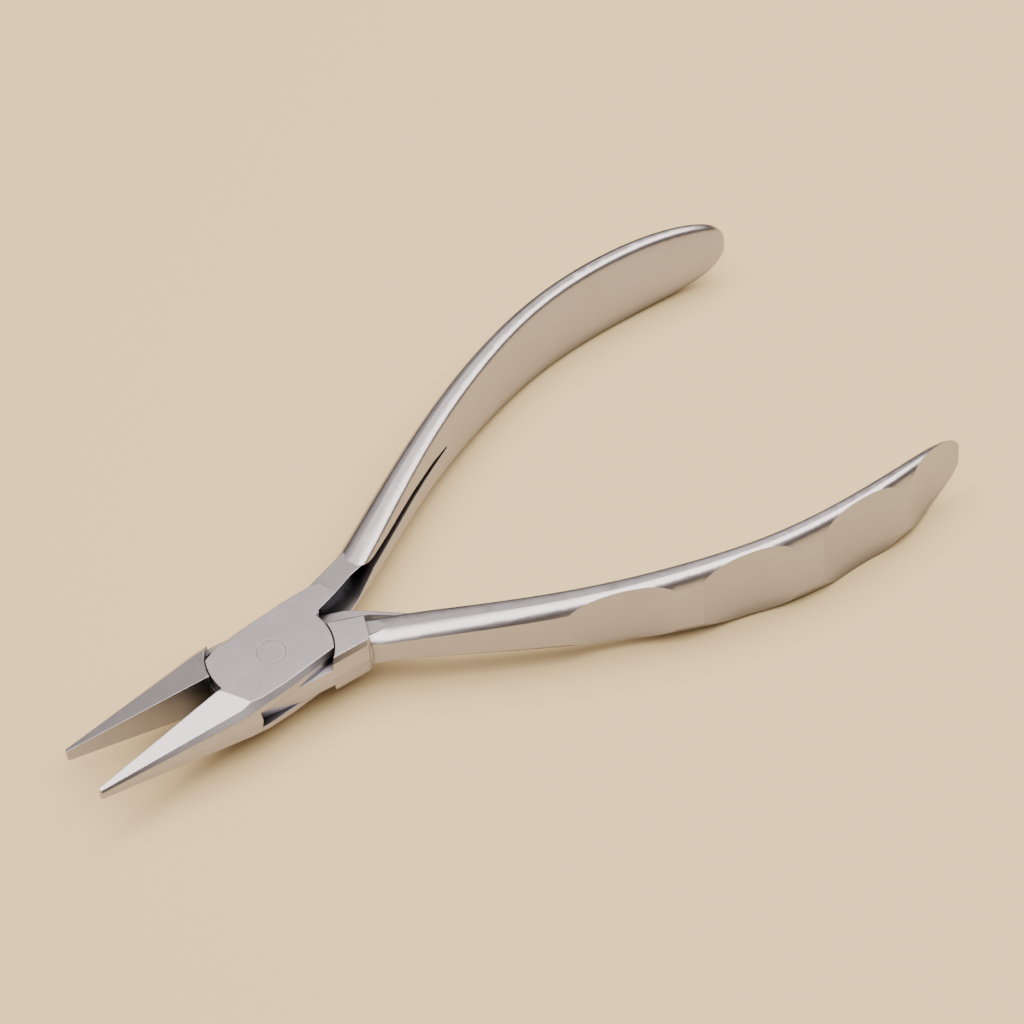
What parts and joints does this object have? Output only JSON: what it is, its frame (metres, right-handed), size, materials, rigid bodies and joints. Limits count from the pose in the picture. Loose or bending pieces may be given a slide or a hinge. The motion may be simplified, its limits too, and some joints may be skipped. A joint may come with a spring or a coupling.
{
  "type": "flat nose pliers",
  "caption": "Box-joint flat nose pliers for jewellery work: slim tapered jaws with smooth grip faces, a flush pivot pin, and two bowed steel handles, one with finger scallops.",
  "frame": {"origin": "on the flat underside of the joint, right under the pivot", "axes": "+X from the pivot towards the handles along the line that halves the opening, +Z along the pivot, out of the upper cheek"},
  "size_m": [0.1285, 0.0634, 0.0138],
  "materials": {
    "box_steel": "satin polished stainless steel, faintly rose grey",
    "tongue_steel": "satin polished stainless steel, brighter on the handle",
    "pin_steel": "steel rivet, ground flush and blended with the cheeks"
  },
  "bodies": {
    "box_body": {"box_half": "box_steel", "pivot_pin": "pin_steel"},
    "tongue_body": {"tongue_half": "tongue_steel"}
  },
  "joints": [
    {"name": "pliers_pivot", "type": "hinge", "parent": "box_body", "child": "tongue_body", "pos_m": [0, 0, 0.0033], "axis": [0, 0, 1], "range_deg": [-22, 14.8]}
  ]
}
